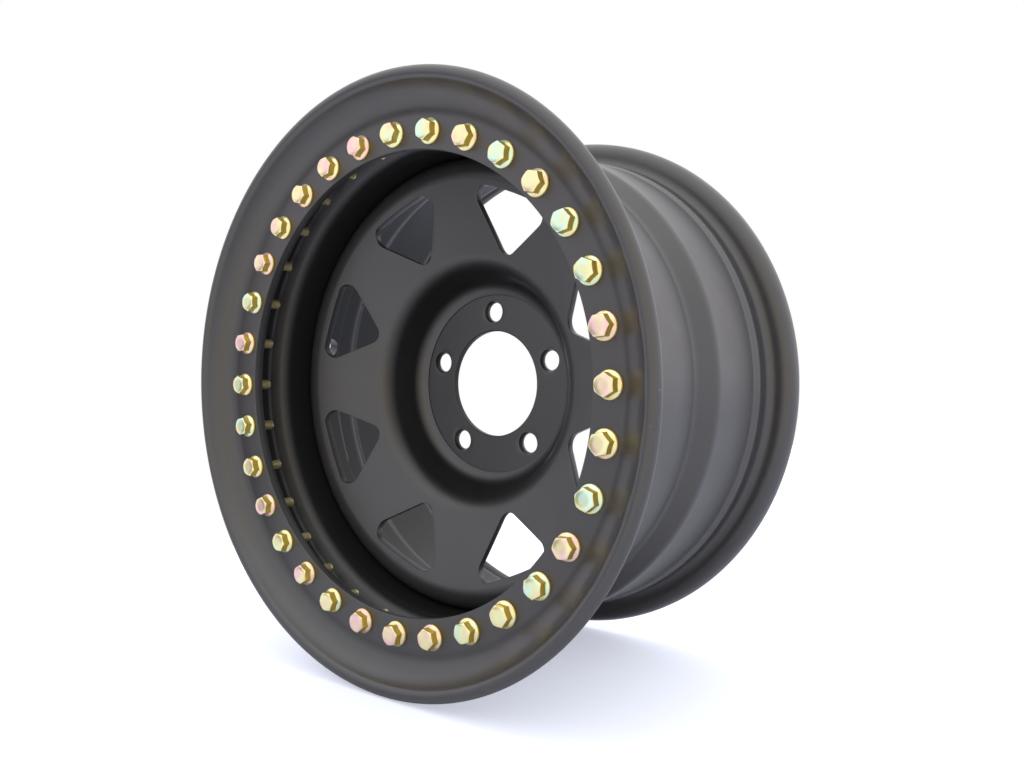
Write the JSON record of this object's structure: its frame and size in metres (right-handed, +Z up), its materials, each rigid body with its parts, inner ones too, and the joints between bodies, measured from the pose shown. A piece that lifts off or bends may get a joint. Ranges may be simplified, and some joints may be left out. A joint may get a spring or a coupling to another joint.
{
  "type": "beadlock wheel",
  "caption": "Steel off-road wheel with a drop-centre rim, a pressed disc with rounded triangular windows and an outer ring bolted on to clamp the tyre bead.",
  "frame": {"origin": "centre of the hub's mounting face, on the wheel's axis", "axes": "+Y along the wheel's axis towards the vehicle, -Y to the street side, +Z up"},
  "size_m": [0.4281, 0.2318, 0.4282],
  "materials": {
    "powder_coat": "satin black powder coat on steel",
    "yellow_zinc": "yellow passivated zinc plate on steel"
  },
  "bodies": {
    "root": {"rim_barrel": "powder_coat", "wheel_disc": "powder_coat", "inner_lock_ring": "powder_coat", "outer_clamp_ring": "powder_coat", "clamp_bolts": "yellow_zinc"}
  },
  "joints": []
}
